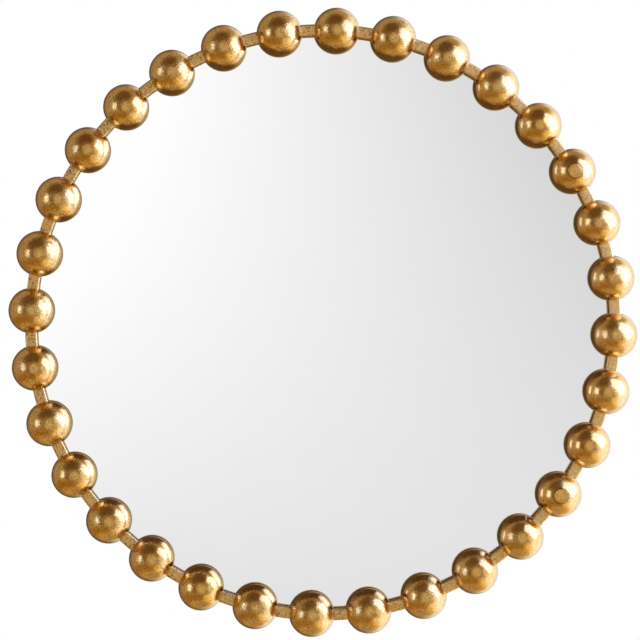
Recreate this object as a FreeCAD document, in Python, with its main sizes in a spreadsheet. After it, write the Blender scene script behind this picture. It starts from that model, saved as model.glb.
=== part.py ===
"""Round wall mirror in a ring of gilded balls, hung by two hinged rings on its back.

The front faces -Y and +Z is up. The origin is the middle of the mirror on the wall: the wall is
the plane y = 0, which the rubber bumpers touch, so the whole mirror lies at y <= 0.
A piece that sits on the ring is drawn at twelve o'clock and then turned about the ring's axis.
All lengths are in millimetres and all angles in degrees.
"""

import FreeCAD, Part

import math
import os
import re

import Sketcher

SIZES = {
    # the ring: one rolled square tube through all the balls
    "pitch_radius": 400.0,
    "bar_width": 16.0,
    "bar_depth": 16.0,
    "bar_wall": 1.5,
    "bar_corner": 2.5,
    # the balls: hollow, pressed from sheet, closed flat at the back
    "ball_radius": 32.0,
    "ball_wall": 1.5,
    "weld_gap": 0.1,
    # the two balls whose vent hole is closed by a round plug
    "plug_radius": 10.4,
    "plug_proud": 0.25,
    "plug_gap": 0.15,
    # the glass and what lies in front of it and behind it
    "tape_width": 8.0,
    "tape_thickness": 1.0,
    "glass_reach": 5.0,
    "glass_thickness": 4.0,
    "glass_arris": 0.5,
    "pad_ring": 230.0,
    "pad_length": 180.0,
    "pad_width": 25.0,
    "pad_thickness": 1.0,
    "board_reach": 4.0,
    "board_thickness": 9.0,
    "board_chamfer": 1.0,
    # the steel clips that hold glass and board in the ring
    "clip_thickness": 2.0,
    "clip_width": 20.0,
    "clip_gap": 1.0,
    "clip_foot": 14.0,
    "clip_lip": 22.0,
    # the screws, one kind all over
    "screw_radius": 1.75,
    "screw_length": 8.0,
    "screw_tip": 2.0,
    "screw_head_radius": 3.5,
    "screw_head_height": 2.2,
    "screw_head_round": 0.9,
    "recess_length": 4.2,
    "recess_width": 1.0,
    "recess_depth": 1.1,
    "screw_hole_gap": 0.25,
    "pilot_gap": 0.05,
    "pilot_extra": 0.5,
    # the hangers: a strap rolled round the straight side of a loose ring
    "hanger_across": 200.0,
    "hanger_rise": 190.0,
    "strap_thickness": 1.5,
    "strap_width": 16.0,
    "strap_corner": 6.0,
    "strap_end_margin": 9.0,
    "strap_screw_pitch": 12.0,
    "strap_screw_margin": 2.0,
    "hinge_gap": 0.3,
    "wire_radius": 1.5,
    "ring_straight": 9.5,
    "ring_corner": 3.0,
    "ring_leg": 3.0,
    # the bumpers that keep the hangers off the wall
    "bumper_height": 8.0,
    "bumper_radius": 8.0,
    "bumper_draft": 1.2,
    "bumper_round": 1.0,
    "bumper_inset": 4.0,
}

BALLS = 32
BALLS_PER_CLIP = 4
BALLS_BEFORE_FIRST_CLIP = 2
PLUGGED_BALLS = ("ball_06", "ball_12")
PADS = 6
BUMPERS = 4

# planes across the mirror, from the wall to the front, as expressions on the sizes
BOARD_BACK = "(-bumper_height)"
BOARD_FRONT = f"({BOARD_BACK} - board_thickness)"
GLASS_BACK = f"({BOARD_FRONT} - pad_thickness)"
GLASS_FRONT = f"({GLASS_BACK} - glass_thickness)"
BAR_BACK = f"({GLASS_FRONT} - tape_thickness)"
BAR_MIDDLE = f"({BAR_BACK} - bar_depth / 2)"

# radii about the ring's axis
RISER_INSIDE = "(pitch_radius + bar_width / 2 + clip_gap)"
LIP_INSIDE = f"({RISER_INSIDE} + clip_thickness - clip_lip)"
CLIP_SCREW_RING = f"({LIP_INSIDE} + (clip_lip - clip_thickness) / 2)"
BUMPER_RING = f"({LIP_INSIDE} - bumper_radius - bumper_inset)"

# lengths down a hanger, from the hinge's axis
HINGE_RADIUS = "(wire_radius + hinge_gap + strap_thickness)"
RING_BOW = "(ring_straight + ring_corner)"
RING_DROP = f"(ring_corner + ring_leg + {RING_BOW})"
STRAP_SCREW_1 = f"({RING_DROP} + wire_radius + screw_head_radius + strap_screw_margin)"
STRAP_SCREW_2 = f"({STRAP_SCREW_1} + strap_screw_pitch)"
STRAP_END = f"({STRAP_SCREW_2} + strap_end_margin)"
HANGERS = {"left": -1, "right": 1}

# turns from twelve o'clock, clockwise as the mirror is seen; the first ball is at twelve
BALL_TURNS = {f"ball_{ball + 1:02d}": ball * 360 / BALLS for ball in range(BALLS)}
CLIP_TURNS = list(BALL_TURNS.values())[BALLS_BEFORE_FIRST_CLIP::BALLS_PER_CLIP]
BUMPER_TURNS = [(bumper + 0.5) * 360 / BUMPERS for bumper in range(BUMPERS)]

document = FreeCAD.newDocument("wall_mirror")


def make_sheet():
    """The sheet that holds the driving sizes, one named cell each."""
    sheet = document.addObject("Spreadsheet::Sheet", "Sizes")
    for row, (name, size) in enumerate(SIZES.items(), start=1):
        sheet.set(f"A{row}", name)
        sheet.set(f"B{row}", str(size))
        sheet.setAlias(f"B{row}", name)
    document.recompute()
    return sheet


SHEET = make_sheet()
SIZE_NAMES = re.compile(r"\b(" + "|".join(SIZES) + r")\b")


def bound(expression):
    """The expression with each size's name pointing at its cell."""
    return SIZE_NAMES.sub(r"Sizes.\1", str(expression))


def number(expression):
    """What an expression on the sizes comes to now."""
    return float(SHEET.evalExpression(bound(expression)))


def bind(thing, prop, expression):
    """Drive a property of a document object by an expression on the sizes."""
    thing.setExpression(prop, bound(expression))


def place(thing, x="0", y="0", z="0", turn=0):
    """Put a sub-part at its place, turned about an axis along Y."""
    thing.Placement = FreeCAD.Placement(
        FreeCAD.Vector(0, 0, 0), FreeCAD.Rotation(FreeCAD.Vector(0, 1, 0), turn)
    )
    for axis, expression in (("x", x), ("y", y), ("z", z)):
        bind(thing, f"Placement.Base.{axis}", expression)


def new_body(name):
    """An empty body whose label names its part."""
    body = document.addObject("PartDesign::Body", name)
    body.Label = name
    return body


class Drawing:
    """A sketch on one of a body's own planes, with each dimension bound to the sizes.

    On the XZ plane a point is (x, z), on the YZ plane (y, z) and on the XY plane (x, y).
    """

    def __init__(self, body, name, plane):
        self.sketch = body.newObject("Sketcher::SketchObject", name)
        feature = next(f for f in body.Origin.OriginFeatures if f.Role == plane)
        self.sketch.AttachmentSupport = [(feature, "")]
        self.sketch.MapMode = "FlatFace"

    def rule(self, expression, kind, *elements):
        """Add a dimension and bind it."""
        value = number(expression)
        index = self.sketch.addConstraint(Sketcher.Constraint(kind, *elements, value))
        bind(self.sketch, f"Constraints[{index}]", expression)

    def level(self, geometry, point, kind, expression):
        """Fix one distance of a point from the origin; a distance of nothing puts it on the axis."""
        if expression == "0":
            axis = -2 if kind == "DistanceX" else -1
            self.sketch.addConstraint(Sketcher.Constraint("PointOnObject", geometry, point, axis))
        else:
            self.rule(expression, kind, -1, 1, geometry, point)

    def pin(self, geometry, point, across, up):
        """Fix a point of a line or arc by its two distances from the origin."""
        self.level(geometry, point, "DistanceX", across)
        self.level(geometry, point, "DistanceY", up)

    def circle(self, across, up, radius):
        """A circle by its middle and radius."""
        middle = FreeCAD.Vector(number(across), number(up), 0)
        normal = FreeCAD.Vector(0, 0, 1)
        index = self.sketch.addGeometry(Part.Circle(middle, normal, number(radius)))
        self.pin(index, 3, across, up)
        self.rule(radius, "Radius", index)

    def outline(self, corners, arcs=None):
        """A closed outline through corners; arcs gives, for the side that leaves a corner,
        the arc's middle and True where it turns anticlockwise."""
        arcs = arcs or {}
        points = [(number(across), number(up)) for across, up in corners]
        sides = []
        for index, (start, end) in enumerate(zip(points, points[1:] + points[:1])):
            if index in arcs:
                (across, up), anticlockwise = arcs[index]
                side = arc_about((number(across), number(up)), start, end, anticlockwise)
                first, last = (1, 2) if anticlockwise else (2, 1)
            else:
                side = Part.LineSegment(FreeCAD.Vector(*start, 0), FreeCAD.Vector(*end, 0))
                first, last = (1, 2)
            sides.append((self.sketch.addGeometry(side), first, last))
        for before, side, (across, up) in zip(sides[-1:] + sides[:-1], sides, corners):
            geometry, first, _ = side
            joint = (before[0], before[2], geometry, first)
            self.sketch.addConstraint(Sketcher.Constraint("Coincident", *joint))
            self.pin(geometry, first, across, up)
        for index, ((across, up), _) in arcs.items():
            start = points[index]
            end = points[(index + 1) % len(points)]
            if abs(end[0] - start[0]) > abs(end[1] - start[1]):
                self.level(sides[index][0], 3, "DistanceY", up)
            else:
                self.level(sides[index][0], 3, "DistanceX", across)

    def box(self, left, low, right, high):
        """A rectangle by its four sides."""
        self.outline([(left, low), (right, low), (right, high), (left, high)])

    def axis(self, across, up, length):
        """A construction line along the sketch's first direction, to turn a profile about."""
        start = FreeCAD.Vector(number(across), number(up), 0)
        end = start + FreeCAD.Vector(number(length), 0, 0)
        index = self.sketch.addGeometry(Part.LineSegment(start, end), True)
        self.sketch.addConstraint(Sketcher.Constraint("Horizontal", index))
        self.pin(index, 1, across, up)
        self.rule(length, "Distance", index)
        return (self.sketch, ["Axis0"])


def arc_about(middle, start, end, anticlockwise):
    """The arc from start to end about a middle."""
    radius = math.dist(middle, start)
    circle = Part.Circle(FreeCAD.Vector(*middle, 0), FreeCAD.Vector(0, 0, 1), radius)
    angles = [math.atan2(p[1] - middle[1], p[0] - middle[0]) for p in (start, end)]
    if not anticlockwise:
        angles.reverse()
    return Part.ArcOfCircle(circle, *angles)


def pad(body, drawing, length, midplane=False, backwards=False):
    """Thicken a drawing."""
    feature = body.newObject("PartDesign::Pad", drawing.sketch.Name + "_pad")
    feature.Profile = drawing.sketch
    feature.Midplane = midplane
    feature.Reversed = backwards
    bind(feature, "Length", length)
    drawing.sketch.Visibility = False
    document.recompute()
    return feature


def pocket(body, drawing, depth, midplane=False, backwards=False):
    """Cut a drawing into the body, and make sure that it took something away."""
    before = body.Shape.Volume
    feature = body.newObject("PartDesign::Pocket", drawing.sketch.Name + "_pocket")
    feature.Profile = drawing.sketch
    feature.Midplane = midplane
    feature.Reversed = backwards
    bind(feature, "Length", depth)
    document.recompute()
    if body.Shape.Volume >= before:
        raise RuntimeError(f"{feature.Name} cuts nothing")
    return feature


def turned(body, drawing, axis):
    """Turn a profile right round an axis."""
    feature = body.newObject("PartDesign::Revolution", drawing.sketch.Name + "_turned")
    feature.Profile = drawing.sketch
    feature.ReferenceAxis = axis
    feature.Angle = 360
    document.recompute()
    return feature


def dress(body, kind, base, size, wanted):
    """Round or chamfer the edges of a feature that pass a test."""
    names = [f"Edge{i}" for i, edge in enumerate(base.Shape.Edges, start=1) if wanted(edge)]
    feature = body.newObject(f"PartDesign::{kind}", f"{body.Name}_{kind.lower()}")
    feature.Base = (base, names)
    bind(feature, "Radius" if kind == "Fillet" else "Size", size)
    document.recompute()
    return feature


def is_circle(edge, radius, y=None):
    """Whether an edge is a circle of a radius, and on a plane across Y where that is given."""
    if not isinstance(edge.Curve, Part.Circle):
        return False
    if not math.isclose(edge.Curve.Radius, radius, abs_tol=1e-6):
        return False
    return y is None or math.isclose(edge.Curve.Center.y, y, abs_tol=1e-6)


def is_across(edge, z):
    """Whether an edge is a short straight one along Y at a height."""
    if not isinstance(edge.Curve, (Part.Line, Part.LineSegment)):
        return False
    ends = [vertex.Point for vertex in edge.Vertexes]
    level = all(math.isclose(point.z, z, abs_tol=1e-6) for point in ends)
    return level and math.isclose(ends[0].x, ends[1].x, abs_tol=1e-6)


def make_ring_bar():
    """The square tube, rolled to a circle, with its four long edges rounded."""
    body = new_body("ring_bar")
    section = Drawing(body, "bar_section", "XY_Plane")
    inside = "pitch_radius - bar_width / 2"
    outside = "pitch_radius + bar_width / 2"
    section.box(inside, "-bar_depth / 2", outside, "bar_depth / 2")
    section.box(
        f"{inside} + bar_wall",
        "bar_wall - bar_depth / 2",
        f"{outside} - bar_wall",
        "bar_depth / 2 - bar_wall",
    )
    bar = turned(body, section, (section.sketch, ["V_Axis"]))
    radii = (number(inside), number(outside))
    dress(body, "Fillet", bar, "bar_corner", lambda edge: any(is_circle(edge, r) for r in radii))
    place(body, y=BAR_MIDDLE)
    return body


def make_ball(name, turn):
    """One pressed ball: a sphere's front and a flat back, notched for the bar."""
    body = new_body(name)
    profile = Drawing(body, f"{name}_profile", "YZ_Plane")
    back = "bar_depth / 2"
    inner_back = f"({back} - ball_wall)"
    inner_radius = "(ball_radius - ball_wall)"
    outer_edge = f"pitch_radius + sqrt(ball_radius ^ 2 - ({back}) ^ 2)"
    inner_edge = f"pitch_radius + sqrt({inner_radius} ^ 2 - {inner_back} ^ 2)"
    middle = ("0", "pitch_radius")
    corners = [
        ("-ball_radius", "pitch_radius"),
        (back, outer_edge),
        (back, "pitch_radius"),
        (inner_back, "pitch_radius"),
        (inner_back, inner_edge),
        (f"-{inner_radius}", "pitch_radius"),
    ]
    arcs = {0: (middle, False), 4: (middle, True)}
    profile.outline(corners, arcs)
    turned(body, profile, profile.axis(*middle, "ball_radius"))

    notch = Drawing(body, f"{name}_notch", "XZ_Plane")
    notch.circle("0", "0", "pitch_radius - bar_width / 2 - weld_gap")
    notch.circle("0", "0", "pitch_radius + bar_width / 2 + weld_gap")
    pocket(body, notch, "bar_depth + 2 * weld_gap", midplane=True)

    if name in PLUGGED_BALLS:
        vent = Drawing(body, f"{name}_vent", "XZ_Plane")
        vent.circle("0", "pitch_radius", "plug_radius + plug_gap")
        pocket(body, vent, "ball_radius", backwards=True)
    place(body, y=BAR_MIDDLE, turn=turn)
    return body


def make_plug(ball, turn):
    """A round plug that closes a ball's vent hole and stands a little proud of the ball."""
    name = f"{ball}_plug"
    outer = document.addObject("Part::Sphere", f"{name}_outer")
    bind(outer, "Radius", "ball_radius + plug_proud")
    inner = document.addObject("Part::Sphere", f"{name}_inner")
    bind(inner, "Radius", "ball_radius - ball_wall")
    punch = document.addObject("Part::Cylinder", f"{name}_punch")
    bind(punch, "Radius", "plug_radius")
    bind(punch, "Height", "ball_radius + 2 * plug_proud")
    punch.Placement = FreeCAD.Placement(
        FreeCAD.Vector(0, 0, 0), FreeCAD.Rotation(FreeCAD.Vector(1, 0, 0), 90)
    )
    blank = document.addObject("Part::Common", f"{name}_blank")
    blank.Base = outer
    blank.Tool = punch
    plug = document.addObject("Part::Cut", name)
    plug.Base = blank
    plug.Tool = inner
    place(
        plug,
        x=f"pitch_radius * sin({turn})",
        y=BAR_MIDDLE,
        z=f"pitch_radius * cos({turn})",
        turn=turn,
    )
    return plug


def make_glazing_tape():
    """The thin foam ring between the bar and the glass."""
    body = new_body("glazing_tape")
    ring = Drawing(body, "tape_ring", "XZ_Plane")
    ring.circle("0", "0", "pitch_radius - tape_width / 2")
    ring.circle("0", "0", "pitch_radius + tape_width / 2")
    pad(body, ring, "tape_thickness")
    place(body, y=GLASS_FRONT)
    return body


def make_glass():
    """The round mirror glass, with its two edges ground off a little."""
    body = new_body("mirror_glass")
    disc = Drawing(body, "glass_disc", "XZ_Plane")
    radius = "pitch_radius + glass_reach"
    disc.circle("0", "0", radius)
    plate = pad(body, disc, "glass_thickness")
    rim = number(radius)
    dress(body, "Chamfer", plate, "glass_arris", lambda edge: is_circle(edge, rim))
    place(body, y=GLASS_BACK)
    return body


def make_pad(index):
    """One strip of the foam tape that sticks the glass to the board."""
    strip = document.addObject("Part::Box", f"mirror_pad_{index + 1}")
    bind(strip, "Length", "pad_length")
    bind(strip, "Width", "pad_thickness")
    bind(strip, "Height", "pad_width")
    turn = index * 360 / PADS
    across = "(-pad_length / 2)"
    up = "(pad_ring - pad_width / 2)"
    place(
        strip,
        x=f"{across} * cos({turn}) + {up} * sin({turn})",
        y=GLASS_BACK,
        z=f"{up} * cos({turn}) - {across} * sin({turn})",
        turn=turn,
    )
    return strip


def make_board():
    """The backing board, with the blind holes for all its screws."""
    body = new_body("backing_board")
    disc = Drawing(body, "board_disc", "XZ_Plane")
    radius = "pitch_radius + board_reach"
    disc.circle("0", "0", radius)
    plate = pad(body, disc, "board_thickness")
    rim = number(radius)
    dress(body, "Chamfer", plate, "board_chamfer", lambda edge: is_circle(edge, rim, 0.0))

    clip_holes = Drawing(body, "clip_holes", "XZ_Plane")
    for turn in CLIP_TURNS:
        across = f"{CLIP_SCREW_RING} * sin({turn})"
        up = f"{CLIP_SCREW_RING} * cos({turn})"
        clip_holes.circle(across, up, "screw_radius + pilot_gap")
    pocket(body, clip_holes, "screw_length - clip_thickness + pilot_extra", backwards=True)

    strap_holes = Drawing(body, "strap_holes", "XZ_Plane")
    for side in HANGERS.values():
        for drop in (STRAP_SCREW_1, STRAP_SCREW_2):
            across = f"{side} * hanger_across"
            strap_holes.circle(across, f"hanger_rise - {drop}", "screw_radius + pilot_gap")
    pocket(body, strap_holes, "screw_length - strap_thickness + pilot_extra", backwards=True)
    place(body, y=BOARD_BACK)
    return body


def make_clip(index, turn):
    """A bent steel clip: its foot is welded to a ball's back and its lip holds the board."""
    name = f"clip_{index}"
    body = new_body(name)
    bend = Drawing(body, f"{name}_bend", "YZ_Plane")
    stack = f"({BOARD_BACK} - {BAR_BACK})"
    riser_outside = f"{RISER_INSIDE} + clip_thickness"
    foot_end = f"{RISER_INSIDE} + clip_foot"
    corners = [
        ("0", RISER_INSIDE),
        (stack, RISER_INSIDE),
        (stack, LIP_INSIDE),
        (f"{stack} + clip_thickness", LIP_INSIDE),
        (f"{stack} + clip_thickness", riser_outside),
        ("clip_thickness", riser_outside),
        ("clip_thickness", foot_end),
        ("0", foot_end),
    ]
    bend.outline(corners)
    pad(body, bend, "clip_width", midplane=True)
    hole = Drawing(body, f"{name}_hole", "XZ_Plane")
    hole.circle("0", CLIP_SCREW_RING, "screw_radius + screw_hole_gap")
    pocket(body, hole, f"{stack} + 2 * clip_thickness")
    place(body, y=BAR_BACK, turn=turn)
    return body


def make_screw(name, x, y, z):
    """A cross-headed wood screw; y is the plane that its head bears on."""
    body = new_body(name)
    profile = Drawing(body, f"{name}_profile", "XY_Plane")
    profile.outline(
        [
            ("0", "-screw_length"),
            ("screw_radius", "screw_tip - screw_length"),
            ("screw_radius", "0"),
            ("screw_head_radius", "0"),
            ("screw_head_radius", "screw_head_height"),
            ("0", "screw_head_height"),
        ]
    )
    blank = turned(body, profile, (profile.sketch, ["V_Axis"]))
    rim = number("screw_head_radius")
    top = number("screw_head_height")
    dress(body, "Fillet", blank, "screw_head_round", lambda edge: is_circle(edge, rim, top))
    long = "recess_length / 2"
    short = "recess_width / 2"
    for arm, half_x, half_z in (("level", long, short), ("upright", short, long)):
        recess = Drawing(body, f"{name}_recess_{arm}", "XZ_Plane")
        recess.box(f"-{half_x}", f"-{half_z}", half_x, half_z)
        pocket(body, recess, "2 * (screw_head_height - recess_depth)", midplane=True)
    place(body, x=x, y=y, z=z)
    return body


def make_clip_screws():
    """One screw through each clip's lip."""
    plane = f"{BOARD_BACK} + clip_thickness"
    screws = []
    for index, turn in enumerate(CLIP_TURNS, start=1):
        x = f"{CLIP_SCREW_RING} * sin({turn})"
        z = f"{CLIP_SCREW_RING} * cos({turn})"
        screws.append(make_screw(f"clip_screw_{index}", x, plane, z))
    return screws


def make_strap_screws():
    """Two screws through each hanger strap."""
    plane = f"{BOARD_BACK} + strap_thickness"
    screws = []
    for label, side in HANGERS.items():
        for index, drop in enumerate((STRAP_SCREW_1, STRAP_SCREW_2), start=1):
            name = f"strap_screw_{label}_{index}"
            screws.append(make_screw(name, f"{side} * hanger_across", plane, f"hanger_rise - {drop}"))
    return screws


def make_strap(label, side):
    """A hanger's strap: a flat plate whose top is rolled into a barrel, with round lower corners."""
    name = f"hanger_strap_{label}"
    body = new_body(name)
    bend = Drawing(body, f"{name}_bend", "YZ_Plane")
    meet = f"sqrt({HINGE_RADIUS} ^ 2 - ({HINGE_RADIUS} - strap_thickness) ^ 2)"
    corners = [
        ("0", f"-{STRAP_END}"),
        ("0", "0"),
        ("strap_thickness", f"-{meet}"),
        ("strap_thickness", f"-{STRAP_END}"),
    ]
    bend.outline(corners, {1: ((HINGE_RADIUS, "0"), False)})
    bend.circle(HINGE_RADIUS, "0", "wire_radius + hinge_gap")
    blank = pad(body, bend, "strap_width", midplane=True)
    end = -number(STRAP_END)
    dress(body, "Fillet", blank, "strap_corner", lambda edge: is_across(edge, end))
    holes = Drawing(body, f"{name}_holes", "XZ_Plane")
    for drop in (STRAP_SCREW_1, STRAP_SCREW_2):
        holes.circle("0", f"-{drop}", "screw_radius + screw_hole_gap")
    pocket(body, holes, "2 * strap_thickness")
    place(body, x=f"{side} * hanger_across", y=BOARD_BACK, z="hanger_rise")
    return body


def make_hanger_ring(label, side):
    """A hanger's wire ring, a D that hangs down from its straight side."""
    name = f"hanger_ring_{label}"
    body = new_body(name)
    path = Drawing(body, f"{name}_path", "XZ_Plane")
    leg_low = "(ring_corner + ring_leg)"
    corners = [
        ("0", "0"),
        ("ring_straight", "0"),
        (RING_BOW, "-ring_corner"),
        (RING_BOW, f"-{leg_low}"),
        (f"-{RING_BOW}", f"-{leg_low}"),
        (f"-{RING_BOW}", "-ring_corner"),
        ("-ring_straight", "0"),
    ]
    arcs = {
        1: (("ring_straight", "-ring_corner"), False),
        3: (("0", f"-{leg_low}"), False),
        5: (("-ring_straight", "-ring_corner"), False),
    }
    path.outline(corners, arcs)
    wire = Drawing(body, f"{name}_wire", "YZ_Plane")
    wire.circle("0", "0", "wire_radius")
    pipe = body.newObject("PartDesign::AdditivePipe", f"{name}_pipe")
    pipe.Profile = wire.sketch
    pipe.Spine = (path.sketch, [f"Edge{i + 1}" for i in range(len(corners))])
    document.recompute()
    place(
        body,
        x=f"{side} * hanger_across",
        y=f"{BOARD_BACK} + {HINGE_RADIUS}",
        z="hanger_rise",
    )
    return body


def make_bumper(index, turn):
    """A rubber bumper that stands on the board and touches the wall."""
    name = f"bumper_{index}"
    body = new_body(name)
    profile = Drawing(body, f"{name}_profile", "XY_Plane")
    tip = "(bumper_radius - bumper_draft)"
    profile.outline([("0", "-bumper_height"), ("bumper_radius", "-bumper_height"), (tip, "0"), ("0", "0")])
    blank = turned(body, profile, (profile.sketch, ["V_Axis"]))
    rim = number(tip)
    dress(body, "Fillet", blank, "bumper_round", lambda edge: is_circle(edge, rim, 0.0))
    place(body, x=f"{BUMPER_RING} * sin({turn})", z=f"{BUMPER_RING} * cos({turn})")
    return body


def make_group(name, pieces):
    """Identical loose pieces kept together under one name."""
    group = document.addObject("Part::Compound", name)
    group.Label = name
    group.Links = pieces
    document.recompute()
    return group


def make_parts():
    """Every sub-part of the mirror, in the order in which it is put together."""
    parts = [make_ring_bar()]
    parts += [make_ball(name, turn) for name, turn in BALL_TURNS.items()]
    plugs = [make_plug(ball, BALL_TURNS[ball]) for ball in PLUGGED_BALLS]
    parts.append(make_group("ball_plugs", plugs))
    parts += [make_glazing_tape(), make_glass()]
    parts.append(make_group("mirror_pads", [make_pad(index) for index in range(PADS)]))
    parts.append(make_board())
    parts += [make_clip(index, turn) for index, turn in enumerate(CLIP_TURNS, start=1)]
    parts.append(make_group("clip_screws", make_clip_screws()))
    parts += [make_strap(label, side) for label, side in HANGERS.items()]
    parts.append(make_group("strap_screws", make_strap_screws()))
    parts += [make_hanger_ring(label, side) for label, side in HANGERS.items()]
    parts += [make_bumper(index, turn) for index, turn in enumerate(BUMPER_TURNS, start=1)]
    return parts


def check_document(parts):
    """Stop if any feature failed or any part is not a sound solid."""
    for thing in document.Objects:
        if {"Invalid", "Error"} & set(thing.State):
            raise RuntimeError(f"{thing.Name} failed: {thing.State}")
    for part in parts:
        if part.Shape.isNull() or not part.Shape.isValid() or not part.Shape.Solids:
            raise RuntimeError(f"{part.Label} has no sound shape")


def write_parts(parts):
    """Write each sub-part's shape to a file of its own name."""
    os.makedirs("parts", exist_ok=True)
    for part in parts:
        part.Shape.exportStep(f"parts/{part.Label}.step")


def main():
    parts = make_parts()
    document.recompute()
    check_document(parts)
    write_parts(parts)
    print(f"{len(parts)} parts, {len(BALL_TURNS)} balls, {len(CLIP_TURNS)} clips")


main()
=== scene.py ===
"""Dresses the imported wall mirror: gilded balls on a gilded bar round a plain mirror glass.

The frame comes from the CAD model, in metres, with the front towards -Y and +Z up.
"""

import math

import bpy
from mathutils import Matrix, Vector


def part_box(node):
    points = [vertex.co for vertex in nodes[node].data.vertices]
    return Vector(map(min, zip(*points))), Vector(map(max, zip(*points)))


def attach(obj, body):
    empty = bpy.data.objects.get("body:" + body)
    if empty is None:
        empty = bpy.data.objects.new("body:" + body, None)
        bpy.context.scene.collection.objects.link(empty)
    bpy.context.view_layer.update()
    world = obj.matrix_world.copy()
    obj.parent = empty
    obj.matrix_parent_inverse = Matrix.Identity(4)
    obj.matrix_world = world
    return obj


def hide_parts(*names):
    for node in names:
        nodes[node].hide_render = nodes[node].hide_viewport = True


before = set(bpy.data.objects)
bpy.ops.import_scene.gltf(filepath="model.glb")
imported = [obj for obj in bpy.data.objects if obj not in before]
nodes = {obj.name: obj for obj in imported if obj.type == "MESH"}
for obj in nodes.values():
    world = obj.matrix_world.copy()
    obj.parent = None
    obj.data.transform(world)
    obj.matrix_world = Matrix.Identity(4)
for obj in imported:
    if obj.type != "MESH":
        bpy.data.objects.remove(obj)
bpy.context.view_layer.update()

MM = 0.001

# the balls, as the CAD model places them
FIRST_LOW, FIRST_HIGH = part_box("ball_01")
BALL_RADIUS = (FIRST_HIGH.x - FIRST_LOW.x) / 2
PITCH_RADIUS = (FIRST_HIGH.z + FIRST_LOW.z) / 2
BALL_DEPTH = FIRST_LOW.y + BALL_RADIUS
BALL_BACK = FIRST_HIGH.y
BALL_NAMES = sorted(name for name in nodes if name.startswith("ball_") and name[5:].isdigit())
BALL_STEP = 2 * math.pi / len(BALL_NAMES)
RING_CENTRE = Vector((0, BALL_DEPTH, 0))

# the plugs that close two balls' vent holes, about the ball's middle
PLUGGED_BALLS = ("ball_06", "ball_12")
PLUG_SETBACK = 0.05 * MM
PLUG_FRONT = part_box("ball_plugs")[0].y + PLUG_SETBACK - BALL_DEPTH
PLUG_RADIUS = 10.2 * MM
PLUG_CROWN = 42 * MM
PLUG_LENGTH = 3 * MM
PLUG_EDGE = 1 * MM
POCKET_RADIUS = 10.9 * MM
POCKET_DEPTH = 2.5 * MM

# the bar
BAR_LOW, BAR_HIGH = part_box("ring_bar")
BAR_WIDTH = 2 * (BAR_HIGH.x - PITCH_RADIUS)
BAR_DEPTH = BAR_HIGH.y - BAR_LOW.y
BAR_EDGE = 2.5 * MM
BAR_STEPS = 384

# how near a point lies to a rim or face to count as on it
TOUCH = 0.01 * MM

# the share of light that the silvered glass sends back
GLASS_SHINE = 0.93

# the one lamp: where it hangs, seen from the ring's middle, and its face
SOFTBOX_AZIMUTH, SOFTBOX_ELEVATION = 66, 22
SOFTBOX_DISTANCE = 1.5
SOFTBOX_WIDTH, SOFTBOX_HEIGHT = 1.15, 1.9
SOFTBOX_TURN = math.radians(40)
SOFTBOX_RADIANCE = 2.5
SOFTBOX_COLOUR = (0.52, 0.61, 1.0)

# the floor, below the picture, and where it melts away for the camera
FLOOR_HEIGHT = -1.8
FLOOR_RADIUS = 0.55
FLOOR_FADE = (0.15, 0.54)

# the photograph's camera; PICTURE, FOCAL_PIXELS and OBJECT_AT are in its pixels
PICTURE = 640
SENSOR = 36.0
CAMERA_DISTANCE = 3.75
CAMERA_YAW = math.radians(2.0)
CAMERA_PITCH = math.radians(1.0)
CAMERA_ROLL = math.radians(2.44)
FOCAL_PIXELS = 2738.0
OBJECT_AT = (324.1, 322.9)


# ---------------------------------------------------------------- shader maths

class Socket:
    """A value in a node tree; expressions on it add Math nodes."""

    def __init__(self, tree, link):
        self.tree = tree
        self.link = link

    def math(self, operation, *others):
        values = dict(enumerate((self, *others)))
        return self.tree.node("ShaderNodeMath", {"operation": operation}, values)

    def __add__(self, other):
        return self.math("ADD", other)

    __radd__ = __add__

    def __mul__(self, other):
        return self.math("MULTIPLY", other)

    __rmul__ = __mul__

    def __sub__(self, other):
        return self.math("SUBTRACT", other)

    def __rsub__(self, other):
        return self.tree.node("ShaderNodeMath", {"operation": "SUBTRACT"}, {0: other, 1: self})

    def clamped(self):
        return self.ramp(0.0, 1.0)

    def ramp(self, low, high, start=0.0, end=1.0, smooth=False):
        """This value's stretch from low to high, spread from start to end."""
        settings = {"interpolation_type": "SMOOTHSTEP" if smooth else "LINEAR"}
        values = {0: self, 1: low, 2: high, 3: start, 4: end}
        return self.tree.node("ShaderNodeMapRange", settings, values)


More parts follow.
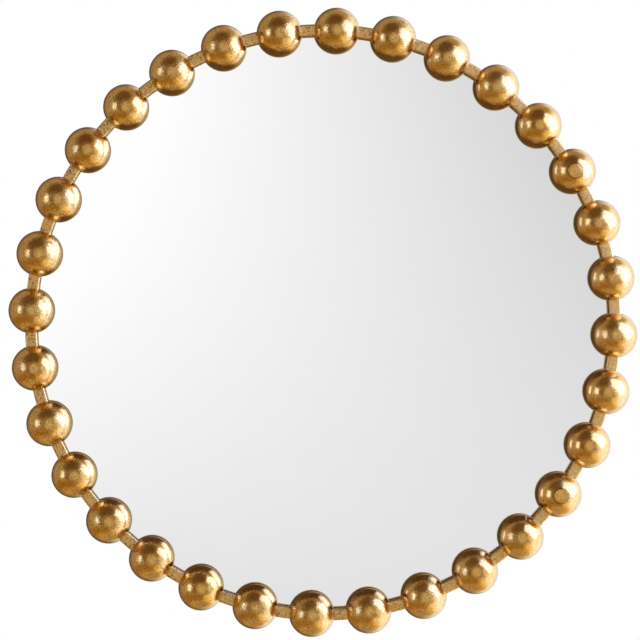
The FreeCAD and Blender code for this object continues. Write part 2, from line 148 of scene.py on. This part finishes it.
class Tree:
    """A node tree under construction."""

    def __init__(self, owner):
        owner.use_nodes = True
        self.nodes = owner.node_tree.nodes
        self.links = owner.node_tree.links
        self.nodes.clear()

    def node(self, kind, settings=None, inputs=None, output=0):
        """Add a node: its settings first, then the values or links of its sockets."""
        made = self.nodes.new(kind)
        for name, value in (settings or {}).items():
            setattr(made, name, value)
        for name, value in (inputs or {}).items():
            if isinstance(value, Socket):
                self.links.new(value.link, made.inputs[name])
            else:
                made.inputs[name].default_value = value
        return Socket(self, made.outputs[output]) if made.outputs else None

    def mix(self, factor, first, second):
        """One colour blended into another."""
        settings = {"data_type": "RGBA", "clamp_factor": True}
        return self.node("ShaderNodeMix", settings, {0: factor, 6: first, 7: second}, 2)

    def place(self):
        return self.node("ShaderNodeTexCoord", {}, {}, "Object")

    def axis(self, vector, index):
        """One of a vector's numbers: 0 is x, 1 is y, 2 is z."""
        return self.node("ShaderNodeSeparateXYZ", {}, {0: vector}, index)

    def light_path(self, output):
        return self.node("ShaderNodeLightPath", {}, {}, output)

    def noise(self, place, size, detail=2.0, roughness=0.5, warp=0.0, output=0):
        """Noise whose features are about size metres across."""
        values = {
            "Vector": place,
            "Scale": 1 / size,
            "Detail": detail,
            "Roughness": roughness,
            "Distortion": warp,
        }
        return self.node("ShaderNodeTexNoise", {}, values, output)

    def cells(self, place, size, feature="F1"):
        values = {"Vector": place, "Scale": 1 / size}
        return self.node("ShaderNodeTexVoronoi", {"feature": feature}, values)

    def bump(self, height, strength, distance):
        values = {"Height": height, "Strength": strength, "Distance": distance}
        return self.node("ShaderNodeBump", {}, values)

    def surface(self, **values):
        """Finish with a Principled surface; underscores in names stand for spaces."""
        inputs = {name.replace("_", " "): value for name, value in values.items()}
        shader = self.node("ShaderNodeBsdfPrincipled", {}, inputs)
        self.node("ShaderNodeOutputMaterial", {}, {"Surface": shader})


def rgb(red, green, blue):
    return (red, green, blue, 1.0)


def new_material(name):
    material = bpy.data.materials.new(name)
    return material, Tree(material)


# ---------------------------------------------------------------- finishes

def gold_leaf(name, pale, deep, wear, base_rough, fleck_size, crackle, relief, varnish, ground_and_shade_from):
    """Old gold leaf over a dark ground, mottled, flecked and finely crackled under a varnish;
    painted shade towards the glass.
    """
    material, tree = new_material(name)
    place = tree.place()
    drift = tree.noise(place, 45 * MM, 2.0, 0.5)
    mottle = tree.noise(place, 7 * MM, 4.0, 0.6, 0.8)
    beaten = tree.noise(place, 5 * MM, 2.0, 0.6, 0.4)
    flecks = tree.noise(place, fleck_size, 3.0, 0.65)
    # crackle runs along the edges of cells that a noise pushes about
    push = tree.node("ShaderNodeVectorMath", {"operation": "SCALE"}, {
        0: tree.noise(place, 4 * MM, 2.0, 0.5, 0.0, 1), "Scale": 3 * MM,
    })
    pushed = tree.node("ShaderNodeVectorMath", {"operation": "ADD"}, {0: place, 1: push})
    edges = tree.cells(pushed, 5 * MM, "DISTANCE_TO_EDGE")
    tone = (0.35 * drift.ramp(0.35, 0.65) + 0.65 * mottle.ramp(0.38, 0.62)).clamped()
    worn = (flecks + 0.5 * mottle).ramp(0.74, 0.88, smooth=True)
    cracks = (edges.ramp(0.0, 0.08, 1.0, 0.0, smooth=True) * drift.ramp(0.42, 0.6)).clamped()
    # fewer flecks and cracks towards the right
    kept = tree.axis(place, 0).ramp(-0.1, 0.35, 1.0, 0.55)
    dirt = ((wear * worn + crackle * cracks) * kept).clamped()
    # the leaf stops raggedly short of the glass; the dark ground there is painted near black, as
    # painted shade between the piece and the glass
    depth = tree.axis(place, 1) + 3 * MM * (mottle - 0.5)
    ground_and_shade = depth.ramp(ground_and_shade_from - 2 * MM, ground_and_shade_from + 2 * MM, smooth=True)
    leaf = tree.mix(tone, deep, pale)
    aged = tree.mix(dirt, leaf, rgb(0.26, 0.13, 0.04))
    colour = tree.mix(ground_and_shade, aged, rgb(0.035, 0.018, 0.010))
    rough = (base_rough + 0.08 * mottle.ramp(0.4, 0.7) + 0.25 * dirt + 0.25 * ground_and_shade).clamped()
    unevenness = drift.ramp(0.38, 0.62, 0.5, 1.3)
    height = (0.25 * mottle + 0.30 * beaten + 0.60 * flecks) * unevenness - 0.1 * dirt
    tree.surface(
        Base_Color=colour,
        Metallic=1.0,
        Roughness=rough,
        Coat_Weight=varnish * (1 - 0.6 * dirt),
        Coat_Roughness=0.1,
        Coat_IOR=1.75,
        Normal=tree.bump(height, 1.0, relief),
    )
    return material


def seam_wax_and_shade():
    """Dark wax left in the seam round a plug, made darker still as painted shade down in the
    recess.
    """
    material, tree = new_material("seam_wax_and_shade")
    cloud = tree.noise(tree.place(), 2 * MM, 3.0, 0.6)
    tree.surface(
        Base_Color=tree.mix(cloud, rgb(0.05, 0.025, 0.012), rgb(0.11, 0.055, 0.022)),
        Roughness=0.5 + 0.2 * cloud,
        Normal=tree.bump(cloud, 0.5, 0.1 * MM),
    )
    return material


def mirror_glass():
    """Silvered glass: a bright front, ground green edges and a grey painted back."""
    material, tree = new_material("mirror")
    place = tree.place()
    depth = tree.axis(place, 1)
    low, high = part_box("mirror_glass")
    silver_end = low.y + 0.35 * MM
    paint_start = high.y - 0.4 * MM
    border = 0.05 * MM
    front = depth.ramp(silver_end - border, silver_end, 1.0, 0.0)
    back = depth.ramp(paint_start, paint_start + border)
    haze = tree.noise(place, 40 * MM, 4.0, 0.6)
    edge = tree.mix(haze.ramp(0.4, 0.6), rgb(0.16, 0.30, 0.24), rgb(0.24, 0.40, 0.33))
    paint = tree.mix(haze.ramp(0.3, 0.7), rgb(0.30, 0.31, 0.33), rgb(0.38, 0.39, 0.41))
    shine = haze.ramp(0.3, 0.7, GLASS_SHINE - 0.004, GLASS_SHINE + 0.004)
    silver = tree.node("ShaderNodeCombineColor", {}, {0: shine, 1: shine, 2: shine})
    colour = tree.mix(front, tree.mix(back, edge, paint), silver)
    tree.surface(Base_Color=colour, Metallic=front, Roughness=front.ramp(0.0, 1.0, 0.35, 0.0))
    return material


def plain_steel(name, colour, dark, rough):
    """Plated steel: cloudy, with small dark stains and a fine grain."""
    material, tree = new_material(name)
    place = tree.place()
    cloud = tree.noise(place, 12 * MM, 4.0, 0.6)
    grain = tree.noise(place, 0.8 * MM, 2.0, 0.5)
    stains = tree.noise(place, 4 * MM, 5.0, 0.7, 0.4).ramp(0.56, 0.7, smooth=True)
    haze = cloud.ramp(0.4, 0.7)
    tree.surface(
        Base_Color=tree.mix((0.8 * stains + 0.3 * haze).clamped(), colour, dark),
        Metallic=1.0,
        Roughness=rough + 0.2 * haze + 0.15 * stains,
        Normal=tree.bump(grain, 0.2, 0.05 * MM),
    )
    return material


def backing_board():
    """Black-painted fibreboard: a fine felt-like grain with a little dust in it."""
    material, tree = new_material("board")
    place = tree.place()
    cloud = tree.noise(place, 60 * MM, 4.0, 0.6)
    fibre = tree.noise(place, 1.5 * MM, 4.0, 0.7)
    dust = tree.noise(place, 6 * MM, 6.0, 0.7).ramp(0.58, 0.72, smooth=True)
    paint = tree.mix(cloud.ramp(0.35, 0.65), rgb(0.022, 0.021, 0.020), rgb(0.040, 0.038, 0.036))
    tree.surface(
        Base_Color=tree.mix(0.35 * dust * fibre.ramp(0.4, 0.7), paint, rgb(0.16, 0.14, 0.12)),
        Roughness=0.62 + 0.2 * cloud.ramp(0.3, 0.7),
        Normal=tree.bump(fibre, 0.5, 0.15 * MM),
    )
    return material


def foam_tape():
    """Closed-cell foam, dark grey, with tiny pits."""
    material, tree = new_material("foam")
    place = tree.place()
    pits = tree.cells(place, 0.6 * MM)
    cloud = tree.noise(place, 15 * MM, 3.0, 0.6)
    tint = tree.mix(cloud.ramp(0.35, 0.65), rgb(0.07, 0.07, 0.07), rgb(0.11, 0.11, 0.11))
    tree.surface(Base_Color=tint, Roughness=0.85, Normal=tree.bump(pits, 0.5, 0.1 * MM))
    return material


def bumper_rubber():
    """Dark grey moulded rubber with a fine grain."""
    material, tree = new_material("bumper_rubber")
    place = tree.place()
    cloud = tree.noise(place, 5 * MM, 4.0, 0.6)
    grain = tree.noise(place, 0.5 * MM, 2.0, 0.5)
    tint = tree.mix(cloud.ramp(0.35, 0.65), rgb(0.05, 0.048, 0.046), rgb(0.10, 0.098, 0.094))
    tree.surface(
        Base_Color=tint,
        Roughness=0.5 + 0.2 * cloud.ramp(0.4, 0.7),
        Normal=tree.bump(grain, 0.3, 0.05 * MM),
    )
    return material


ball_gold = gold_leaf(
    "gilded_ball", pale=rgb(0.96, 0.73, 0.34), deep=rgb(0.78, 0.46, 0.11),
    wear=0.6, base_rough=0.10, fleck_size=2.6 * MM, crackle=0.2, relief=0.60 * MM, varnish=0.9,
    # where the leaf ends and the painted shade towards the glass begins
    ground_and_shade_from=BALL_DEPTH + 3.5 * MM,
)
bar_gold = gold_leaf(
    "gilded_bar", pale=rgb(1.0, 0.82, 0.46), deep=rgb(0.88, 0.60, 0.27),
    wear=0.75, base_rough=0.38, fleck_size=2.2 * MM, crackle=0.3, relief=0.8 * MM, varnish=0.5,
    # where the leaf ends and the painted shade towards the glass begins
    ground_and_shade_from=BAR_HIGH.y - 3 * MM,
)
seam = seam_wax_and_shade()
mirror = mirror_glass()
board_paint = backing_board()
foam = foam_tape()
clip_steel = plain_steel("clip_steel", rgb(0.50, 0.50, 0.49), rgb(0.28, 0.26, 0.24), 0.30)
screw_steel = plain_steel("screw_steel", rgb(0.75, 0.66, 0.42), rgb(0.42, 0.34, 0.2), 0.28)
hanger_steel = plain_steel("hanger_steel", rgb(0.54, 0.54, 0.53), rgb(0.32, 0.30, 0.28), 0.24)
rubber = bumper_rubber()


# ---------------------------------------------------------------- pieces

def finish_node(name, material):
    """Give a CAD node that stays its material."""
    mesh = nodes[name].data
    mesh.materials.clear()
    mesh.materials.append(material)


def deselect():
    bpy.ops.object.select_all(action="DESELECT")


def cut_off(place, way):
    """Cut the mesh under edit at a flat plane, clear what lies beyond it and close the cut."""
    bpy.ops.mesh.select_all(action="SELECT")
    bpy.ops.mesh.bisect(
        plane_co=place, plane_no=way, use_fill=True, clear_outer=True, clear_inner=False,
    )


def shade_smooth(degrees):
    bpy.ops.object.shade_smooth_by_angle(angle=math.radians(degrees))


def smooth_ball():
    """One ball about the origin: a fine round shell with a flat back."""
    deselect()
    bpy.ops.mesh.primitive_ico_sphere_add(subdivisions=6, radius=BALL_RADIUS, location=(0, 0, 0))
    ball = bpy.context.object
    bpy.ops.object.mode_set(mode="EDIT")
    cut_off((0, BALL_BACK - BALL_DEPTH, 0), (0, 1, 0))
    bpy.ops.object.mode_set(mode="OBJECT")
    shade_smooth(30)
    ball.data.materials.append(ball_gold)
    return ball


def sunk_ball(pattern):
    """A ball with a round pocket in its front for the plug; dark wax and painted shade fill the
    seam.
    """
    ball = copy_with_mesh(pattern, "sunk_ball")
    deselect()
    ball.select_set(True)
    bpy.context.view_layer.objects.active = ball
    rim = -math.sqrt(BALL_RADIUS ** 2 - POCKET_RADIUS ** 2)
    bpy.ops.object.mode_set(mode="EDIT")
    cut_off((0, rim, 0), (0, -1, 0))
    bpy.ops.mesh.extrude_region_move(TRANSFORM_OT_translate={"value": (0, POCKET_DEPTH, 0)})
    bpy.ops.object.mode_set(mode="OBJECT")
    shade_smooth(30)
    ball.data.materials.append(seam)
    # the pocket's walls and floor take the seam wax with its painted shade
    for face in ball.data.polygons:
        across = math.hypot(face.center.x, face.center.z)
        if across < POCKET_RADIUS + TOUCH and rim + TOUCH < face.center.y < 0:
            face.material_index = 1
    return ball


def plug_button():
    """A plug about the origin of its ball: flatter than the ball, with a rounded rim."""
    deselect()
    middle = PLUG_FRONT + PLUG_CROWN
    bpy.ops.mesh.primitive_uv_sphere_add(
        segments=96, ring_count=256, radius=PLUG_CROWN,
        location=(0, middle, 0), rotation=(math.pi / 2, 0, 0),
    )
    plug = bpy.context.object
    bpy.ops.object.transform_apply(location=True, rotation=True, scale=True)
    rim = middle - math.sqrt(PLUG_CROWN ** 2 - PLUG_RADIUS ** 2)
    bpy.ops.object.mode_set(mode="EDIT")
    cut_off((0, rim, 0), (0, 1, 0))
    bpy.ops.mesh.extrude_region_move(TRANSFORM_OT_translate={"value": (0, PLUG_LENGTH, 0)})
    bpy.ops.mesh.select_all(action="DESELECT")
    bpy.ops.object.mode_set(mode="OBJECT")
    for edge in plug.data.edges:
        ends = [plug.data.vertices[index].co for index in edge.vertices]
        edge.select = all(
            abs(end.y - rim) < TOUCH and math.hypot(end.x, end.z) > PLUG_RADIUS - TOUCH
            for end in ends
        )
    bpy.ops.object.mode_set(mode="EDIT")
    bpy.ops.mesh.select_mode(type="EDGE")
    bpy.ops.mesh.bevel(offset=PLUG_EDGE, segments=5, affect="EDGES")
    bpy.ops.object.mode_set(mode="OBJECT")
    shade_smooth(40)
    plug.data.materials.append(ball_gold)
    return plug


def copy_with_mesh(piece, name):
    made = piece.copy()
    made.data = piece.data.copy()
    made.name = name
    made.data.name = name
    bpy.context.collection.objects.link(made)
    return made


def ball_place(index):
    """Where a ball's middle is, and how far it is turned clockwise."""
    turn = index * BALL_STEP
    middle = Vector((PITCH_RADIUS * math.sin(turn), BALL_DEPTH, PITCH_RADIUS * math.cos(turn)))
    return middle, turn


def make_balls():
    """All the balls, and the plugs as one piece, each from its pattern."""
    pattern = smooth_ball()
    sunk = sunk_ball(pattern)
    button = plug_button()
    plugs = []
    for index, name in enumerate(BALL_NAMES):
        middle, turn = ball_place(index)
        place = Matrix.Translation(middle)
        ball = copy_with_mesh(sunk if name in PLUGGED_BALLS else pattern, f"gilt_{name}")
        ball.data.transform(place @ Matrix.Rotation(turn, 4, "Y"))
        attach(ball, "mirror")
        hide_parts(name)
        if name in PLUGGED_BALLS:
            plug = copy_with_mesh(button, f"gilt_plug_{name[5:]}")
            plug.data.transform(place)
            plugs.append(plug)
    deselect()
    for plug in plugs:
        plug.select_set(True)
    bpy.context.view_layer.objects.active = plugs[0]
    bpy.ops.object.join()
    joined = bpy.context.object
    joined.name = "gilt_plugs"
    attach(joined, "mirror")
    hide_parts("ball_plugs")
    for piece in (pattern, sunk, button):
        bpy.data.objects.remove(piece)


def make_bar():
    """The bar: a rounded square section spun round the mirror's axis."""
    deselect()
    bpy.ops.mesh.primitive_plane_add(
        size=1.0, location=(PITCH_RADIUS, (BAR_LOW.y + BAR_HIGH.y) / 2, 0),
    )
    bar = bpy.context.object
    bar.scale = (BAR_WIDTH, BAR_DEPTH, 1)
    bpy.ops.object.transform_apply(location=True, rotation=True, scale=True)
    bpy.ops.object.mode_set(mode="EDIT")
    bpy.ops.mesh.select_all(action="SELECT")
    bpy.ops.mesh.bevel(offset=BAR_EDGE, segments=5, affect="VERTICES")
    bpy.ops.mesh.select_all(action="SELECT")
    bpy.ops.mesh.delete(type="ONLY_FACE")
    bpy.ops.mesh.select_all(action="SELECT")
    bpy.ops.mesh.spin(
        steps=BAR_STEPS, angle=2 * math.pi, center=(0, 0, 0), axis=(0, 1, 0), use_auto_merge=True,
    )
    bpy.ops.mesh.select_all(action="SELECT")
    bpy.ops.mesh.remove_doubles(threshold=1e-6)
    bpy.ops.mesh.normals_make_consistent(inside=False)
    bpy.ops.object.mode_set(mode="OBJECT")
    shade_smooth(40)
    bar.name = "gilt_bar"
    bar.data.materials.append(bar_gold)
    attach(bar, "mirror")
    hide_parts("ring_bar")


make_balls()
make_bar()

finish_node("mirror_glass", mirror)
finish_node("glazing_tape", foam)
finish_node("mirror_pads", foam)
finish_node("backing_board", board_paint)
for name in nodes:
    if name.startswith("clip_") and name != "clip_screws":
        finish_node(name, clip_steel)
    if name.startswith("hanger_"):
        finish_node(name, hanger_steel)
    if name.startswith("bumper_"):
        finish_node(name, rubber)
finish_node("clip_screws", screw_steel)
finish_node("strap_screws", screw_steel)


# ---------------------------------------------------------------- studio

def direction(azimuth, elevation):
    """A direction from the mirror: azimuth 0 is straight out in front, positive to the right."""
    a = math.radians(azimuth)
    e = math.radians(elevation)
    return Vector((math.sin(a) * math.cos(e), -math.cos(a) * math.cos(e), math.sin(e)))


def make_softbox():
    """A tall soft box at the upper right, facing the ring's middle."""
    light = bpy.data.lights.new("softbox", "AREA")
    light.shape = "RECTANGLE"
    light.size = SOFTBOX_WIDTH
    light.size_y = SOFTBOX_HEIGHT
    light.color = SOFTBOX_COLOUR
    light.energy = SOFTBOX_RADIANCE * math.pi * SOFTBOX_WIDTH * SOFTBOX_HEIGHT
    box = bpy.data.objects.new("softbox", light)
    bpy.context.collection.objects.link(box)
    way = direction(SOFTBOX_AZIMUTH, SOFTBOX_ELEVATION)
    box.location = RING_CENTRE + SOFTBOX_DISTANCE * way
    box.rotation_mode = "QUATERNION"
    facing = (-way).to_track_quat("-Z", "Y")
    box.rotation_quaternion = facing @ Matrix.Rotation(SOFTBOX_TURN, 4, "Z").to_quaternion()
    box.visible_camera = False


# Soft patches of the room, each over those before it. A patch is aimed at an azimuth and an
# elevation, is whole within its inner angle and gone beyond its outer one, all in degrees, and
# hides what lies behind it by its strength.
ROOM_PATCHES = (
    (100, 0, 30, 62, 1.0, rgb(1.45, 1.42, 1.60)),  # the pale right side
    (15, -95, 15, 45, 1.0, rgb(0.60, 0.41, 0.15)),  # the floor, straight below
    (-16, 54, 20, 44, 1.0, rgb(0.15, 0.082, 0.032)),  # the dark ceiling in front
    (-48, 36, 8, 30, 0.8, rgb(0.16, 0.09, 0.035)),  # the shade above the window
    (0, 0, 26, 44, 0.75, rgb(0.28, 0.19, 0.09)),  # the dim front wall
    (53, 4, 8, 24, 1.0, rgb(0.92, 0.86, 0.74)),  # a lit wall beside the soft box
    (-32, -2, 6, 24, 0.8, rgb(0.17, 0.10, 0.04)),  # the shade beside the window
    (3, 0, 13, 32, 1.0, rgb(0.64, 0.51, 0.32)),  # the round glow behind the camera
)

# the same at full strength, for balls mirrored by the glass: they face a dark front
GLAZED_PATCHES = (
    (-20, 0, 20, 32, rgb(0.09, 0.05, 0.025)),
    (-10, 62, 24, 44, rgb(0.09, 0.045, 0.018)),
    (-6, -50, 26, 46, rgb(0.13, 0.065, 0.024)),
)

# the window, as rays find it that met one surface, and as later ones do: its azimuth and
# elevation, half its width and height, and how soft its edges are, in degrees
WINDOW = (-59, 2, 8.5, 13)
LATER_WINDOW = (-77, 2, 6, 12)
PANE_SOFTNESS = 3

# the pale card that the glass shows: a ray's direction times CARD_SPREAD, plus CARD_SHIFT, is
# about where it left the glass in the photograph, in hundreds of pixels from the ring's middle
CARD_SPREAD = 27.6
CARD_SHIFT_X, CARD_SHIFT_Z = -0.96, 0.47
CARD_DARKEST, CARD_LIGHTEST = 0.66, 0.99


class Studio:
    """The room that the mirror reflects, painted on the world by direction."""

    def __init__(self):
        world = bpy.data.worlds.new("studio")
        bpy.context.scene.world = world
        self.tree = Tree(world)
        self.way = self.tree.node("ShaderNodeTexCoord", {}, {}, "Generated")
        self.x, self.y, self.z = (self.tree.axis(self.way, index) for index in range(3))
        # first is 1 until a ray has met two surfaces, sharp is 1 where the polished glass sent it
        self.first = self.tree.light_path("Ray Depth").ramp(2.4, 2.6, 1.0, 0.0)
        self.sharp = self.tree.light_path("Is Singular Ray")

    def along(self, aim):
        """How far each direction goes along an aim."""
        values = {0: self.way, 1: aim}
        return self.tree.node("ShaderNodeVectorMath", {"operation": "DOT_PRODUCT"}, values, 1)

    def patch(self, azimuth, elevation, inner, outer):
        """1 within inner degrees of a direction, 0 beyond outer degrees."""
        limits = (math.cos(math.radians(outer)), math.cos(math.radians(inner)))
        return self.along(direction(azimuth, elevation)).ramp(*limits, smooth=True)

    def pane(self, azimuth, elevation, half_width, half_height):
        """1 on an upright pane seen in a direction, with soft edges; sizes in degrees."""
        aim = direction(azimuth, elevation)
        # not on the room's other side as well
        mask = self.along(aim).ramp(0.3, 0.4)
        soft = math.sin(math.radians(PANE_SOFTNESS))
        beside = self.along(direction(azimuth + 90, 0))
        for offset, half in ((beside, half_width), (self.z - aim.z, half_height)):
            edge = math.sin(math.radians(half))
            inside = offset.math("ABSOLUTE").ramp(edge - soft, edge + soft, 1.0, 0.0, smooth=True)
            mask = mask * inside
        return mask

    def room(self):
        """The half of the room in front of the mirror."""
        tree = self.tree
        ground = tree.mix(
            self.x.ramp(0.05, 0.6, smooth=True), rgb(0.36, 0.19, 0.04), rgb(1.10, 0.82, 0.38),
        )
        room = tree.mix(self.z.ramp(-0.25, -0.6, smooth=True), rgb(0.45, 0.33, 0.18), ground)
        for *shape, strength, colour in ROOM_PATCHES:
            room = tree.mix(strength * self.patch(*shape), room, colour)
        glazed = (1 - self.first) * self.sharp
        for *shape, colour in GLAZED_PATCHES:
            room = tree.mix(glazed * self.patch(*shape), room, colour)
        window = self.pane(*WINDOW) * self.first + self.pane(*LATER_WINDOW) * (1 - self.first)
        return tree.mix(window, room, rgb(1.7, 1.8, 2.1))

    def behind(self):
        """Behind the mirror: brown flags at the left, above and below, pale light at the right."""
        tree = self.tree
        flags = tree.mix(
            self.y.ramp(0.5, 0.85, smooth=True), rgb(0.36, 0.25, 0.14), rgb(0.13, 0.08, 0.045),
        )
        behind = tree.mix(self.x.ramp(-0.1, 0.5, smooth=True), flags, rgb(1.15, 1.15, 1.2))
        # nearer to straight behind it is brown on every side
        return tree.mix(self.y.ramp(0.86, 0.97, smooth=True), behind, rgb(0.24, 0.17, 0.10))

    def card(self):
        """The card that the glass alone shows: white at the upper left of the photograph."""
        across = CARD_SPREAD * self.x + CARD_SHIFT_X
        above = CARD_SPREAD * self.z + CARD_SHIFT_Z
        # a slope fitted to a few brightness readings of the glass in the photograph
        tone = 0.845 + 0.012 * above - 0.006 * above * above - (0.05 + 0.0165 * above) * across
        # the glass keeps some light back, so the card is that much brighter
        tone = tone.ramp(
            CARD_DARKEST, CARD_LIGHTEST, CARD_DARKEST / GLASS_SHINE, CARD_LIGHTEST / GLASS_SHINE,
        )
        slope = self.tree.node("ShaderNodeCombineColor", {}, {0: tone, 1: tone, 2: tone})
        return self.tree.mix(self.patch(3, 0, 16, 26), rgb(0.80, 0.80, 0.81), slope)

    def background(self):
        """1 where the plain white background shows."""
        camera, glossy, through = (
            self.tree.light_path(f"Is {kind} Ray") for kind in ("Camera", "Glossy", "Transmission")
        )
        # what shines shows it at the right, where no brown flag hides it
        unhidden = self.x.ramp(0.2, 0.5, smooth=True) * self.y.ramp(0.5, 0.7, smooth=True)
        unhidden = unhidden * self.y.ramp(0.86, 0.97, 1.0, 0.0, smooth=True)
        return (camera + through + glossy * unhidden).clamped()

    def paint(self):
        tree = self.tree
        around = tree.mix(self.y.ramp(0.25, 0.7, smooth=True), self.room(), self.behind())
        # straight behind it is plain grey, for the steel on the mirror's back
        around = tree.mix(self.y.ramp(0.955, 0.975, smooth=True), around, rgb(0.85, 0.85, 0.86))
        around = tree.mix(self.first * self.sharp, around, self.card())
        shown = tree.mix(self.background(), around, rgb(1, 1, 1))
        light = tree.node("ShaderNodeBackground", {}, {"Color": shown, "Strength": 1.0})
        tree.node("ShaderNodeOutputWorld", {}, {"Surface": light})


def make_floor():
    """A pale floor; reflections see it warmer, and for the camera it melts away at its rim."""
    deselect()
    bpy.ops.mesh.primitive_circle_add(
        vertices=96, radius=FLOOR_RADIUS, fill_type="NGON", location=(0, 0, FLOOR_HEIGHT),
    )
    floor = bpy.context.object
    floor.name = "floor"
    material, tree = new_material("floor_paint")
    place = tree.place()
    cloud = tree.noise(place, 0.4, 3.0, 0.5)
    seen = tree.light_path("Is Camera Ray")
    warm = tree.mix(cloud, rgb(0.80, 0.61, 0.36), rgb(0.84, 0.65, 0.40))
    pale = tree.mix(cloud, rgb(0.94, 0.94, 0.95), rgb(0.97, 0.97, 0.98))
    outwards = tree.node("ShaderNodeVectorMath", {"operation": "LENGTH"}, {0: place}, 1)
    cover = 1 - seen * outwards.ramp(*FLOOR_FADE, 0.35, 1.0, smooth=True)
    tree.surface(Base_Color=tree.mix(seen, warm, pale), Roughness=0.8, Alpha=cover)
    floor.data.materials.append(material)


def make_camera():
    """The photograph's viewpoint, a little to the left of the ring's middle and above it."""
    data = bpy.data.cameras.new("camera")
    camera = bpy.data.objects.new("camera", data)
    bpy.context.collection.objects.link(camera)
    ahead = Vector((
        math.sin(CAMERA_YAW) * math.cos(CAMERA_PITCH),
        math.cos(CAMERA_YAW) * math.cos(CAMERA_PITCH),
        -math.sin(CAMERA_PITCH),
    ))
    right = ahead.cross(Vector((0, 0, 1))).normalized()
    above = right.cross(ahead)
    up = above * math.cos(CAMERA_ROLL) - right * math.sin(CAMERA_ROLL)
    side = ahead.cross(up)
    place = Matrix((side, up, -ahead)).transposed().to_4x4()
    place.translation = RING_CENTRE - CAMERA_DISTANCE * ahead
    camera.matrix_world = place
    data.sensor_width = SENSOR
    data.lens = SENSOR * FOCAL_PIXELS / PICTURE
    data.shift_x = -(OBJECT_AT[0] - PICTURE / 2) / PICTURE
    data.shift_y = (OBJECT_AT[1] - PICTURE / 2) / PICTURE
    bpy.context.scene.camera = camera


Studio().paint()
make_softbox()
make_floor()
make_camera()
bpy.context.scene.view_settings.view_transform = "Standard"
